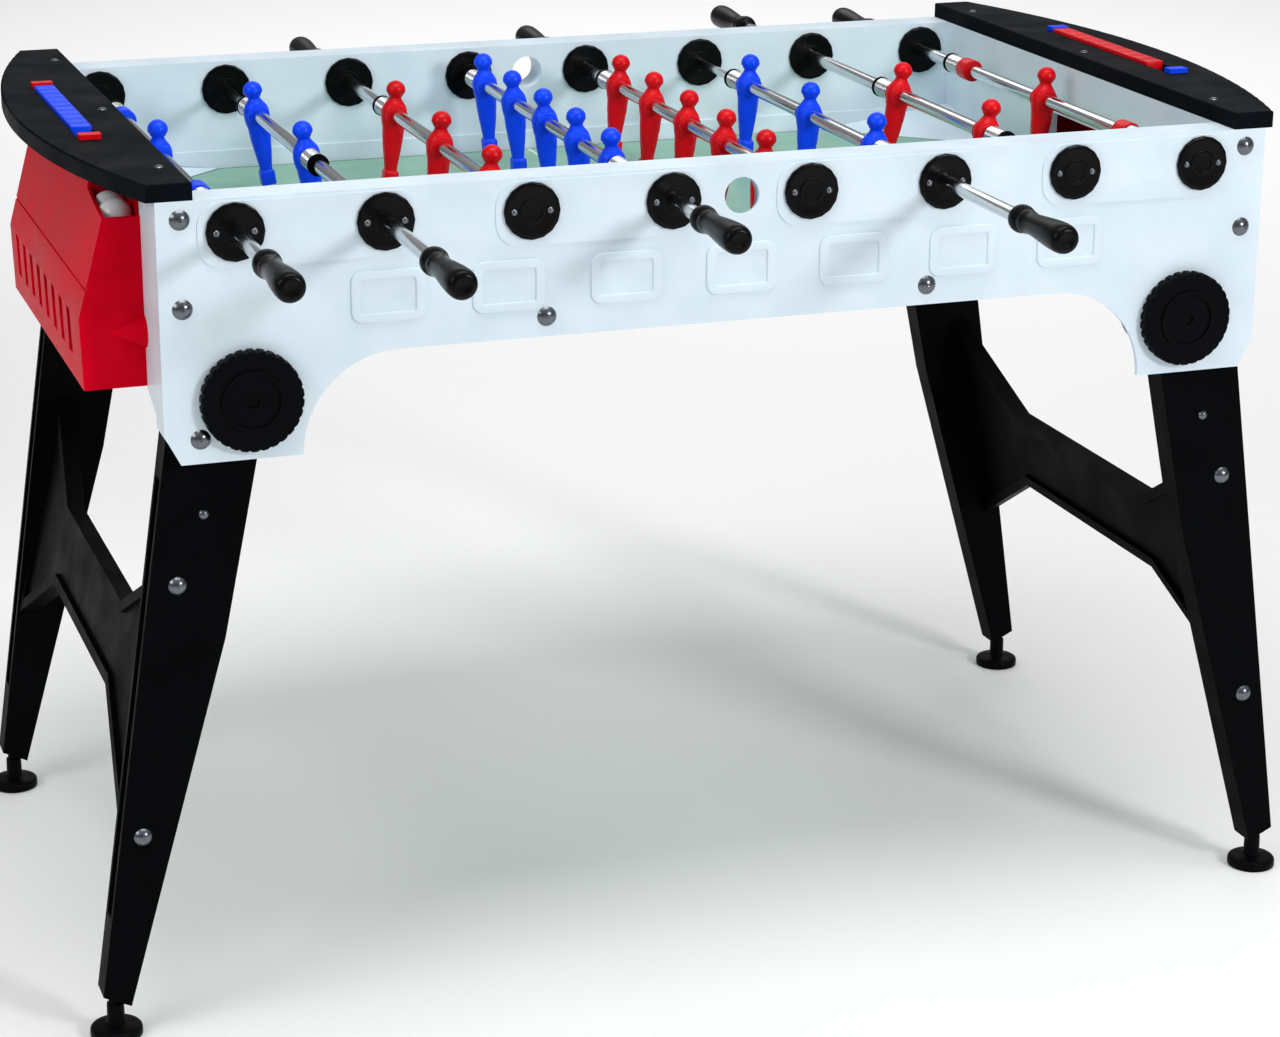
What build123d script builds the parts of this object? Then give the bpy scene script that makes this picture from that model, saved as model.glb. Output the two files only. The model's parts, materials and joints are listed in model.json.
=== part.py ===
"""Foosball table with folding legs, telescopic rods, ball returns and score beads.

Millimetres. X runs along the table from the left goal to the right goal, +Y is the back and +Z is up.
The floor is z = 0 and the origin is under the middle of the field.
"""
import os
from math import asin, atan2, cos, hypot, sin

from build123d import *

os.makedirs("parts", exist_ok=True)

# ---------------------------------------------------------------- overall sizes
rod_height = 841.0          # floor to the rod axes
rod_pitch = 147.0           # from one rod to the next along X
inner_half = 340.0          # half the playing width, to the inner faces of the side panels
panel_depth = 42.5          # outer face to inner face of a side panel
end_space = 39.0            # last rod to the end wall
end_depth = 36.5            # end wall's inner face to the end of the side panels

rod_count = 8
last_rod_x = (rod_count - 1) / 2 * rod_pitch
wall_x = last_rod_x + end_space          # inner face of the end walls
end_x = wall_x + end_depth               # ends of the side panels
outer_half = inner_half + panel_depth    # outer faces of the side panels

# ---------------------------------------------------------------- side panels
panel_top = rod_height + 32.5
panel_straight_end = rod_height - 196.6  # where the lower corner is cut off
panel_foot = rod_height - 226.7          # lowest edge of the panel's feet
foot_cut = 15.5                          # how far the lower corner is cut back
foot_length = 136.0                      # panel end to the inner edge of its foot
panel_belly = rod_height - 128.5         # lower edge between the feet
arch_radius = panel_belly - panel_foot
skin = 5.0                               # moulded wall thickness
return_depth = 77.5                      # inward depth of the white flange at each panel end
return_lip = rod_height - 169.0          # lower edge of that flange at its inner side
entry_radius = 18.5                      # ball entry hole at the middle of each side
relief = 1.5                             # raised fields round each pair of bearings
relief_drop = 35.0
relief_rise = 29.5
relief_side = 36.0
relief_corner = 24.0

# ---------------------------------------------------------------- playing field
field_top = rod_height - 93.0
field_thickness = 12.0
goal_half = 100.0
goal_height = 66.0
ramp_length = 173.0                      # corner ramps, along the side panels
ramp_width = 155.0                       # and along the end walls
ramp_height = 22.0
strip_height = 21.0                      # low strip along the foot of each side wall
strip_depth = 2.0
wall_plate = 6.0                         # thickness of an end wall's plate
rim = 5.0                                # thickness of its rim and goal tunnel

# ---------------------------------------------------------------- bearings and rods
tube_radius = 7.5
core_radius = 4.8
running = 0.06                           # radial clearance of sliding and turning fits
free = 0.4                               # clearance between pieces that move past each other
flange_radius = 28.3
flange_thickness = 4.5
nut_thickness = 5.0
seat_gap = 0.05                          # radial gap between a bearing's nut and its sleeve
boss_wall = 5.0                          # plastic round a bearing sleeve inside the panel
sleeve_radius = 13.0
core_seat = 8.0                          # core's end short of the panel's outer face
core_overlap = 80.0                      # core left inside the tube when the rod is pulled out

spring_length = 32.0
spring_radius = 11.5
washer_length = 7.0
washer_radius = 14.0
washer_gap = 0.2                         # between a spring and its washer
man_half = 13.0
ring_half = 12.0
ring_radius = 13.5
stroke_by_men = {1: 79.5, 2: 162.5, 3: 94.5, 5: 48.5}
grip_gap_by_men = {1: 35.0, 2: 57.0, 3: 57.0, 5: 64.0}

grip_length = 106.0
grip_radius = 16.0
grip_waist = 11.5
grip_collar = 24.0                       # length of the rounded collar at the inner end
grip_shoulder = grip_length - grip_radius
grip_insert = 84.0                       # tube inside the grip

# rod number: men, side of the handle (-1 front, 1 back), place in its stroke, lean of the men in degrees
rods = {
    1: (1, -1, -10.0, 0.0),
    2: (2, -1, 58.0, -8.0),
    3: (3, 1, -55.0, 5.0),
    4: (5, -1, 37.0, -4.0),
    5: (5, 1, -20.0, 5.0),
    6: (3, -1, -17.0, 3.0),
    7: (2, 1, -51.0, 10.0),
    8: (1, 1, -12.0, 5.0),
}

# ---------------------------------------------------------------- men
head_radius = 10.0
head_rise = 27.5
boot_drop = 80.0

# ---------------------------------------------------------------- legs
pivot_inset = 85.5                       # panel end to the folding pivot
pivot_drop = 166.0                       # rod axes to the folding pivot
pivot_x = end_x - pivot_inset
pivot_z = rod_height - pivot_drop
foot_spread = 153.5                      # pivot to the foot along X
leg_thickness = 33.0
leg_setback = 23.5                       # panel's outer face to the leg's outer face
leg_outer_y = outer_half - leg_setback
leg_inner_y = leg_outer_y - leg_thickness
leg_head_radius = 46.0                   # round head of the leg inside the panel
stud_radius = 5.0
lean = atan2(foot_spread, pivot_z)       # radians from upright
leg_shoulder = (72.0, 20.0)              # outline points: outward offset, distance down the leg
leg_toe = (25.6, 46.0)                   # lower points: outward offset, distance up from the floor line
leg_heel = (-5.0, 39.0)
leg_waist = (-27.5, 250.0)
leg_throat = (-24.0, 65.0)
leg_bolts_at = [(18.0, 127.0), (30.0, 203.0), (16.5, 469.0)]
channel_depth = 9.0                      # channel down the outer flank
channel_width = 19.0
channel_top = 100.0
channel_end = 130.0                      # lower end of the channel, up from the floor line

cross_offset = 27.0                      # cross panel's middle plane outside the pivot-to-foot line
cross_thickness = 20.0
cross_top = 284.0                        # distances from the pivot, down the leg
cross_height = 93.0
gusset_reach = 160.0
gusset_rise = 90.0
cross_recess = 5.0
cross_rim = 12.0

foot_radius = 27.0
foot_thickness = 17.0
foot_neck = 9.0
foot_stud_top = 78.0                     # height of the threaded stud's upper end

# ---------------------------------------------------------------- knobs
knob_radius = 50.7
knob_thickness = 12.0
knob_scallops = 30
scallop_radius = 2.6

# ---------------------------------------------------------------- end caps and score beads
cap_thickness = 17.5
cap_straight = 44.5                      # straight length of each end of a cap
cap_bulge = 109.5                        # width of the cap at its middle
slot_centre = 55.5                       # score slot, from the cap's inner edge
slot_width = 22.0
slot_half = 155.0
slot_depth = 12.0
bead_count = 10
bead_row = 250.0
bead_clearance = 0.4
block_length = 14.0
bead_proud = 4.0
left_row_centre = 10.0
right_row_centre = 15.0

# ---------------------------------------------------------------- goal boxes
box_front = outer_half - return_depth    # far side of the box from the table's middle
box_back = 131.0                         # and its near side
box_wall = 3.5
box_ridge_reach = 64.0                   # reach beyond the panel ends at the ridge
box_top_reach = 29.0
box_bottom_reach = 62.0
box_ridge = rod_height - 95.0
box_bottom = rod_height - 166.0
box_side_top = rod_height + 3.0
tray_floor = rod_height - 19.0
tray_length = 94.0
tray_lip_rises = (5.0, 11.0)             # steps of the tray's lip along the end face
tray_lip_places = (49.0, 91.0)
box_slots = 8
box_slot_width = 20.0
box_slot_margin = 64.0                   # far side of the box to the first slot's middle
box_slot_tail = 48.0                     # last slot's middle to the near side of the box
box_slot_foot = 24.0                     # slots' lower ends above the box's bottom
crease_drop = 66.0                       # rod axes to the crease across the sloping face
crease_width = 2.5
crease_depth = 1.2
bulge_radius = 16.0
bulge_length = 35.0
bulge_drop = 111.0                       # rod axes to the bulge's axis
ball_radius = 16.5
ball_seat = 39.0                         # far side of the box to the first ball's middle

# ---------------------------------------------------------------- bolts and screws
dome_radius = 10.0
dome_height = 5.0
shank_radius = 3.0
shank_length = 14.0
screw_radius = 3.2
screw_height = 1.6
flange_screw_reach = 18.5
flange_shank_radius = 1.0
stop_bolt_inset = 35.2                   # panel end to the single bolt beside one knob on each side
stop_bolt_drop = 202.3
cap_screw_inset = 16.5                   # cap's inner edge to its screws
cap_screw_margin = 77.5                  # cap's ends to its outer screws
cap_shank_radius = 2.0


leg_line = hypot(foot_spread, pivot_z)   # pivot to the floor, along the leg
outward = (cos(lean), sin(lean))         # X and Z of the direction square to the leg
flange_face = outer_half + relief        # where the outer bearing flanges sit
nut_face = inner_half - nut_thickness


def rod_x(number):
    """X of a rod, counted from the left."""
    return (number - (rod_count + 1) / 2) * rod_pitch


def save(part, label):
    """Label a finished piece and write it to its own file."""
    part.label = label
    export_step(part, f"parts/{label}.step")


def across(y):
    """Plane at y facing the front: local x is +X and local y is +Z."""
    return Plane(origin=(0, y, 0), x_dir=(1, 0, 0), z_dir=(0, -1, 0))


def facing(x, y, z, side):
    """Plane at a point whose normal looks away from the table, to the front (-1) or the back (1)."""
    return Plane(origin=(x, y, z), x_dir=(1, 0, 0), z_dir=(0, side, 0))


def block(xs, ys, zs, mode=Mode.ADD):
    """Box between two X, two Y and two Z values, in any order."""
    centre = tuple((low + high) / 2 for low, high in (xs, ys, zs))
    with Locations(centre):
        Box(abs(xs[1] - xs[0]), abs(ys[1] - ys[0]), abs(zs[1] - zs[0]), mode=mode)


def bar(radius, ys, x, z, mode=Mode.ADD):
    """Cylinder along Y between two Y values."""
    with Locations((x, (ys[0] + ys[1]) / 2, z)):
        Cylinder(radius, abs(ys[1] - ys[0]), rotation=(90, 0, 0), mode=mode)


# ================================================================ cabinet: side panels
bolt_places = [
    (end_x - 23.0, rod_height + 14.3),
    (end_x - 22.5, rod_height - 72.5),
    (end_x - 385.0, rod_height - 108.0),
]


def side_panel(side):
    """Moulded side panel: outer skin, top, inner wall above the field, and end flanges."""
    hollow = (side * (outer_half - skin), side * (inner_half + skin))
    with BuildPart() as panel:
        with BuildSketch(across(side * outer_half)):
            with BuildLine():
                Polyline((0, panel_top), (end_x, panel_top), (end_x, panel_straight_end),
                         (end_x - foot_cut, panel_foot), (end_x - foot_length, panel_foot))
                CenterArc((end_x - foot_length - arch_radius, panel_foot), arch_radius, 0, 90)
                Polyline((end_x - foot_length - arch_radius, panel_belly), (0, panel_belly),
                         (0, panel_top))
            make_face()
            mirror(about=Plane.YZ)
        extrude(amount=side * panel_depth)
        block((-end_x + skin, end_x - skin), hollow, (panel_foot - 1, panel_top - skin), Mode.SUBTRACT)
        inner_wall = (side * (inner_half + skin), side * (inner_half - 1))
        block((-end_x - 1, end_x + 1), inner_wall, (panel_foot - 1, field_top - field_thickness - skin),
              Mode.SUBTRACT)
        block((-wall_x, wall_x), (side * inner_half, side * (inner_half - strip_depth)),
              (field_top, field_top + strip_height))
        for number in range(1, rod_count + 1):
            bar(sleeve_radius + boss_wall, hollow, rod_x(number), rod_height)
        bar(entry_radius + boss_wall, hollow, 0, rod_height)
        for end in (-1, 1):
            bar(stud_radius + 2 * boss_wall, (hollow[0], side * (leg_outer_y + free)), end * pivot_x, pivot_z)
            with BuildSketch(Plane(origin=(end * end_x, 0, 0), x_dir=(0, side, 0), z_dir=(side, 0, 0))):
                Polygon((outer_half - skin, panel_top), (outer_half - return_depth, panel_top),
                        (outer_half - return_depth, return_lip),
                        (outer_half - skin, panel_straight_end), align=None)
            extrude(amount=-end * side * skin)
        for first in range(1, rod_count, 2):
            middle = (rod_x(first) + rod_x(first + 1)) / 2
            with BuildSketch(across(side * outer_half)):
                with Locations((middle, rod_height + (relief_rise - relief_drop) / 2)):
                    RectangleRounded(rod_pitch + 2 * relief_side, relief_rise + relief_drop, relief_corner)
            extrude(amount=-side * relief)
        through = (side * (outer_half + relief + 1), side * (inner_half - strip_depth - 1))
        for number in range(1, rod_count + 1):
            bar(sleeve_radius, through, rod_x(number), rod_height, Mode.SUBTRACT)
        bar(entry_radius, through, 0, rod_height, Mode.SUBTRACT)
        for end in (-1, 1):
            bar(stud_radius + running, through, end * pivot_x, pivot_z, Mode.SUBTRACT)
            for x, z in bolt_places:
                bar(shank_radius, (side * (outer_half + 1), hollow[0]), end * x, z, Mode.SUBTRACT)
        bar(shank_radius, (side * (outer_half + 1), hollow[0]), side * (end_x - stop_bolt_inset),
            rod_height - stop_bolt_drop, Mode.SUBTRACT)
    return panel.part


save(side_panel(-1), "front_side_panel")
save(side_panel(1), "back_side_panel")


# ================================================================ cabinet: field and end walls
with BuildPart() as playing_field:
    block((-wall_x, wall_x), (-inner_half, inner_half), (field_top - field_thickness, field_top))
save(playing_field.part, "playing_field")


def end_wall(end):
    """White end wall with the goal, the tunnel behind it, a rim for the goal box and two corner ramps."""
    rim_half = outer_half - return_depth - free
    back = (end * (wall_x + wall_plate), end * end_x)
    tunnel_half = goal_half + rim
    with BuildPart() as wall:
        block((end * wall_x, back[0]), (-inner_half, inner_half), (field_top - field_thickness, panel_top))
        block((end * wall_x, back[0]), (-rim_half, rim_half), (box_bottom, panel_top))
        block(back, (-rim_half, rim_half), (box_bottom, panel_top))
        block((back[0], end * (end_x + 1)), (rim - rim_half, rim_half - rim),
              (box_bottom + rim, panel_top - rim), Mode.SUBTRACT)
        block(back, (-tunnel_half, tunnel_half), (field_top - rim, field_top + goal_height + rim))
        block((end * (wall_x - 1), end * (end_x + 1)), (-goal_half, goal_half),
              (field_top, field_top + goal_height), Mode.SUBTRACT)
        for side in (-1, 1):
            corner = Plane(origin=(end * wall_x, side * (inner_half - strip_depth), field_top))
            with BuildSketch(corner):
                Polygon((0, 0), (-end * ramp_length, 0), (0, -side * ramp_width), align=None)
            with BuildSketch(corner.offset(ramp_height)):
                Polygon((0, 0), (-end * 6, 0), (0, -side * 6), align=None)
            loft()
    return wall.part


save(end_wall(-1), "left_end_wall")
save(end_wall(1), "right_end_wall")


# ================================================================ cabinet: bearings and guide cores
def open_side(number):
    """Side of the table on which a rod's handle stands: -1 front, 1 back."""
    return rods[number][1]


with BuildPart() as bearings:
    for side in (-1, 1):
        for number in rods:
            bar(flange_radius, (side * nut_face, side * inner_half), rod_x(number), rod_height)
        for number in rods:
            bar(sleeve_radius + seat_gap, (side * (nut_face - 1), side * inner_half), rod_x(number), rod_height,
                Mode.SUBTRACT)
        for number in rods:
            bar(flange_radius, (side * flange_face, side * (flange_face + flange_thickness)), rod_x(number),
                rod_height)
            bar(sleeve_radius, (side * nut_face, side * flange_face), rod_x(number), rod_height)
    for number in rods:
        near = open_side(number)
        bar(tube_radius + running, (near * (nut_face - 1), near * (outer_half + flange_radius)),
            rod_x(number), rod_height, Mode.SUBTRACT)
        bar(core_radius, (-near * (nut_face - 1), -near * (outer_half - core_seat)), rod_x(number), rod_height,
            Mode.SUBTRACT)
        for side in (-1, 1):
            for reach in (-flange_screw_reach, flange_screw_reach):
                bar(flange_shank_radius, (side * (flange_face + 1), side * (flange_face + 2 * flange_thickness)),
                    rod_x(number) + reach, rod_height, Mode.SUBTRACT)
save(bearings.part, "bearings")


def tip_reach(men):
    """Rod's middle to the outer face of its last washer."""
    return nut_face - free - stroke_by_men[men]


def grip_start(men):
    """Rod's middle to the inner end of its handle."""
    return flange_face + flange_thickness + stroke_by_men[men] + grip_gap_by_men[men]


with BuildPart() as guide_cores:
    for number, (men, near, shift, tilt) in rods.items():
        inner_end = near * (stroke_by_men[men] - tip_reach(men) + core_overlap)
        bar(core_radius, (-near * (outer_half - core_seat), inner_end), rod_x(number), rod_height)
save(guide_cores.part, "guide_cores")


# ================================================================ cabinet: end caps and score blocks
score_x = wall_x + slot_centre
cap_top = panel_top + cap_thickness
cap_screw_places = (cap_screw_margin - outer_half, 0, outer_half - cap_screw_margin)


def end_cap(end):
    """Black cap over an end wall, curved outside, with the score slot along its middle."""
    with BuildPart() as cap:
        with BuildSketch(Plane.XY.offset(panel_top)):
            with BuildLine():
                corner = (end * (wall_x + cap_straight), outer_half)
                Polyline((end * (wall_x + cap_straight), -outer_half), (end * wall_x, -outer_half),
                         (end * wall_x, outer_half), corner)
                ThreePointArc(corner, (end * (wall_x + cap_bulge), 0), (corner[0], -outer_half))
            make_face()
        extrude(amount=cap_thickness)
        fillet(cap.faces().sort_by(Axis.Z)[-1].edges(), 2.0)
        with BuildSketch(Plane.XY.offset(cap_top)):
            with Locations((end * score_x, 0)):
                Rectangle(slot_width, 2 * slot_half)
        extrude(amount=-slot_depth, mode=Mode.SUBTRACT)
        with Locations(*[(end * (wall_x + cap_screw_inset), y, cap_top) for y in cap_screw_places]):
            Hole(cap_shank_radius, cap_thickness - skin)
    return cap.part


save(end_cap(-1), "left_end_cap")
save(end_cap(1), "right_end_cap")

with BuildPart() as score_blocks:
    for end in (-1, 1):
        for side in (-1, 1):
            block((end * score_x - slot_width / 2, end * score_x + slot_width / 2),
                  (side * slot_half, side * (slot_half - block_length)),
                  (cap_top - slot_depth, cap_top + bead_proud + 1))
save(score_blocks.part, "score_blocks")


def score_beads(end, row_centre):
    """Row of sliding score beads with rounded tops, lying in a cap's slot."""
    pitch = bead_row / bead_count
    half_width = slot_width / 2 - bead_clearance
    with BuildPart() as beads:
        for index in range(bead_count):
            y = row_centre + (index - (bead_count - 1) / 2) * pitch
            half = (pitch - bead_clearance) / 2
            block((end * score_x - half_width, end * score_x + half_width), (y - half, y + half),
                  (cap_top - slot_depth + bead_clearance, cap_top + bead_proud))
        fillet(beads.edges().filter_by(Axis.X).group_by(Axis.Z)[-1], 3.0)
    return beads.part


save(score_beads(-1, left_row_centre), "left_score_beads")
save(score_beads(1, right_row_centre), "right_score_beads")


# ================================================================ cabinet: goal boxes and balls
def slope_reach(z):
    """Reach of a goal box's sloping end face beyond the panel ends, at a height."""
    share = (panel_top - z) / (panel_top - box_ridge)
    return box_top_reach + (box_ridge_reach - box_top_reach) * share


def box_outline(end, wall):
    """Outline of a goal box across the table; shrunk by its wall it is also open above and behind."""
    spill = 1 if wall else 0
    back = end * (end_x - spill)
    return [(back, panel_top + spill), (end * (end_x + box_top_reach - wall), panel_top + spill),
            (end * (end_x + box_ridge_reach - wall), box_ridge),
            (end * (end_x + box_bottom_reach - wall), box_bottom + wall), (back, box_bottom + wall)]


def tray_outline(end, wall):
    """Outline of the ball tray across the table, or of its hollow when it is shrunk by the wall."""
    floor = tray_floor - box_wall + wall
    top = panel_top + (1 if wall else 0)
    return [(end * end_x, top), (end * (end_x + slope_reach(panel_top) - wall), top),
            (end * (end_x + slope_reach(floor) - wall), floor), (end * end_x, floor)]


def goal_box(end):
    """Red moulded box behind a goal, with a ball tray in its upper far corner and slots in its end face."""
    front = end * box_front
    length = box_front + box_back
    pitch = (length - box_slot_margin - box_slot_tail) / (box_slots - 1)
    lip = [(box_front + 1, panel_top + 1), (box_front + 1, box_side_top)]
    lip += [(box_front - place, box_side_top + rise) for place, rise in zip(tray_lip_places, tray_lip_rises)]
    lip += [(box_front - tray_length, box_side_top + tray_lip_rises[-1]), (box_front - tray_length, panel_top + 1)]
    with BuildPart() as box:
        with BuildSketch(across(front)):
            Polygon(*box_outline(end, 0), align=None)
        extrude(amount=end * length)
        with BuildSketch(across(front - end * box_wall)):
            Polygon(*box_outline(end, box_wall), align=None)
        extrude(amount=end * (length - 2 * box_wall), mode=Mode.SUBTRACT)
        with BuildSketch(across(front)):
            Polygon(*tray_outline(end, 0), align=None)
        extrude(amount=end * (tray_length + box_wall))
        with BuildSketch(across(front - end * box_wall)):
            Polygon(*tray_outline(end, box_wall), align=None)
        extrude(amount=end * (tray_length - box_wall), mode=Mode.SUBTRACT)
        with BuildSketch(Plane(origin=(end * end_x, 0, 0), x_dir=(0, end, 0), z_dir=(end, 0, 0))):
            Polygon(*lip, align=None)
        extrude(amount=box_ridge_reach + 1, mode=Mode.SUBTRACT)
        tray_back = (front - end * (box_wall + 2 * free + rim), end * (box_front - tray_length - box_wall))
        block((end * (end_x - box_wall), end * end_x), tray_back,
              (tray_floor - box_wall, panel_top - rim - free))
        crease_z = rod_height - crease_drop
        with BuildSketch(across(front)):
            Polygon(*[(end * (end_x + slope_reach(z) + reach), z)
                      for z, reach in ((crease_z + crease_width / 2, 1), (crease_z - crease_width / 2, 1),
                                       (crease_z - crease_width / 2, -crease_depth),
                                       (crease_z + crease_width / 2, -crease_depth))], align=None)
        extrude(amount=end * length, mode=Mode.SUBTRACT)
        bulge = Plane(origin=(end * end_x, front, rod_height - bulge_drop), z_dir=(end, 0, 0))
        with Locations(bulge):
            Cone(bulge_radius, 1.0, bulge_length, align=(Align.CENTER, Align.CENTER, Align.MIN))
        for index in range(box_slots):
            y = end * (box_front - box_slot_margin - index * pitch)
            depth = box_wall + 1 if index == 0 else box_wall * 0.6
            block((end * (end_x + box_ridge_reach + 1), end * (end_x + box_bottom_reach - depth)),
                  (y - box_slot_width / 2, y + box_slot_width / 2), (box_bottom + box_slot_foot, box_ridge - 2),
                  Mode.SUBTRACT)
    return box.part


save(goal_box(-1), "left_goal_box")
save(goal_box(1), "right_goal_box")

with BuildPart() as balls:
    for place in (ball_seat, ball_seat + 2 * ball_radius + free):
        with Locations((-end_x - ball_radius - 1.5 * free, place - box_front, tray_floor + ball_radius + free)):
            Sphere(ball_radius)
save(balls.part, "balls")


# ================================================================ screws and bolts
def dome_screw(radius, height, shank, length):
    """Domed screw standing on the origin along +Z, its shank below."""
    ball = (radius ** 2 + height ** 2) / (2 * height)
    half_angle = asin(radius / ball) / 2
    with BuildPart() as screw:
        with BuildSketch(Plane.XZ):
            with BuildLine():
                ThreePointArc((0, height), (ball * sin(half_angle), height - ball * (1 - cos(half_angle))),
                              (radius, 0))
                Polyline((radius, 0), (shank, 0), (shank, -length), (0, -length), (0, height))
            make_face()
        revolve(axis=Axis.Z)
    return screw.part


bolt = dome_screw(dome_radius, dome_height, shank_radius, shank_length)
flange_screw = dome_screw(screw_radius, screw_height, flange_shank_radius, flange_thickness - 1)
cap_screw = dome_screw(screw_radius + 1.6, screw_height + 0.6, cap_shank_radius, cap_thickness - skin - 1)

with BuildPart() as cabinet_screws:
    for side in (-1, 1):
        with Locations(*[facing(end * x, side * outer_half, z, side) for end in (-1, 1) for x, z in bolt_places]):
            add(bolt)
        with Locations(facing(side * (end_x - stop_bolt_inset), side * outer_half, rod_height - stop_bolt_drop,
                              side)):
            add(bolt)
        face = side * (flange_face + flange_thickness)
        with Locations(*[facing(rod_x(number) + reach, face, rod_height, side)
                         for number in rods for reach in (-flange_screw_reach, flange_screw_reach)]):
            add(flange_screw)
    with Locations(*[(end * (wall_x + cap_screw_inset), y, cap_top)
                     for end in (-1, 1) for y in cap_screw_places]):
        add(cap_screw)
save(cabinet_screws.part, "cabinet_screws")


# ================================================================ rods
def rod_tube(number):
    """Steel tube of one rod, which slides and turns on its guide core."""
    men, near, shift, tilt = rods[number]
    ends = (shift + near * (grip_start(men) + grip_insert), shift - near * (tip_reach(men) - 1))
    with BuildPart() as tube:
        bar(tube_radius, ends, rod_x(number), rod_height)
        bar(core_radius + running, ends, rod_x(number), rod_height, Mode.SUBTRACT)
    return tube.part


def handle(number):
    """Turned black handle: a rounded collar, a waist and a larger rounded outer end."""
    men, near, shift, tilt = rods[number]
    start = Plane(origin=(rod_x(number), shift + near * grip_start(men), rod_height), x_dir=(1, 0, 0),
                  z_dir=(0, 0, near))
    with BuildPart() as grip:
        with BuildSketch(start):
            with BuildLine():
                Polyline((0, grip_length), (0, 0), (grip_waist, 0))
                ThreePointArc((grip_waist, 0), (grip_radius, grip_collar * 0.4), (grip_waist + 1, grip_collar))
                ThreePointArc((grip_waist + 1, grip_collar), (grip_waist + 1, grip_length / 2),
                              (grip_radius, grip_shoulder))
                CenterArc((0, grip_shoulder), grip_radius, 0, 90)
            make_face()
        revolve(axis=Axis(start.origin, start.y_dir))
        inner = shift + near * grip_start(men)
        bar(tube_radius, (inner - near, inner + near * grip_insert), rod_x(number), rod_height, Mode.SUBTRACT)
    return grip.part


def bumpers(number):
    """Spring sleeve and washer outside the last man at each end, free to stay still while the rod turns."""
    men, near, shift, tilt = rods[number]
    washer_tip = tip_reach(men)
    spring_tip = washer_tip - washer_length - washer_gap
    bore = (shift - washer_tip - 1, shift + washer_tip + 1)
    with BuildPart() as springs:
        for side in (-1, 1):
            bar(spring_radius, (shift + side * spring_tip, shift + side * (spring_tip - spring_length)),
                rod_x(number), rod_height)
            bar(washer_radius, (shift + side * washer_tip, shift + side * (washer_tip - washer_length)),
                rod_x(number), rod_height)
        bar(tube_radius + free, bore, rod_x(number), rod_height, Mode.SUBTRACT)
    return springs.part


# Sections of a man from the ankles to the neck: height, depth along X, width along Y.
man_sections = [(-64.0, 12.0, 16.0), (-42.0, 15.0, 19.0), (-20.0, 18.5, 22.0), (2.0, 20.0, 26.0),
                (13.0, 17.0, 25.0), (20.0, 9.0, 10.0)]

with BuildPart() as man:
    for height, depth, width in man_sections:
        with BuildSketch(Plane.XY.offset(height)):
            RectangleRounded(depth, width, 0.3 * depth)
    loft(ruled=True)
    with Locations((0, 0, head_rise)):
        Sphere(head_radius)
    with BuildSketch(Plane.XY.offset(-boot_drop)):
        RectangleRounded(19.0, 22.0, 4.0)
    extrude(amount=17.0)


def players(number):
    """Men of one rod, and the two stop rings beside a goalkeeper."""
    men, near, shift, tilt = rods[number]
    outer_face = tip_reach(men) - washer_length - washer_gap - spring_length - free
    spread = outer_face - man_half
    places = [0.0] if men == 1 else [spread * (2 * index / (men - 1) - 1) for index in range(men)]
    with BuildPart() as team:
        with Locations(*[Location((rod_x(number), shift + y, rod_height), (0, tilt, 0)) for y in places]):
            add(man.part)
        if men == 1:
            for side in (-1, 1):
                bar(ring_radius, (shift + side * outer_face, shift + side * (outer_face - 2 * ring_half)),
                    rod_x(number), rod_height)
        bar(tube_radius, (shift - outer_half, shift + outer_half), rod_x(number), rod_height, Mode.SUBTRACT)
    return team.part


for number in rods:
    save(rod_tube(number), f"rod_{number}_tube")
    save(handle(number), f"rod_{number}_handle")
    save(bumpers(number), f"rod_{number}_bumpers")
    save(players(number), f"rod_{number}_players")


# ================================================================ legs
def leg_point(offset, down):
    """X (before mirroring) and Z of a point given by its outward offset and its distance down the leg."""
    return (pivot_x + offset * outward[0] + down * outward[1],
            pivot_z + offset * outward[1] - down * outward[0])


toe = leg_point(leg_toe[0], leg_line - leg_toe[1])
heel = leg_point(leg_heel[0], leg_line - leg_heel[1])
foot_stand_x = (toe[0] + heel[0]) / 2
leg_bolt_places = [leg_point(*place) for place in leg_bolts_at]


def shoulder_line(down):
    """Offset of the leg's outer edge at a distance down the leg."""
    share = (down - leg_shoulder[1]) / (leg_line - leg_toe[1] - leg_shoulder[1])
    return leg_shoulder[0] + (leg_toe[0] - leg_shoulder[0]) * share


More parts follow.
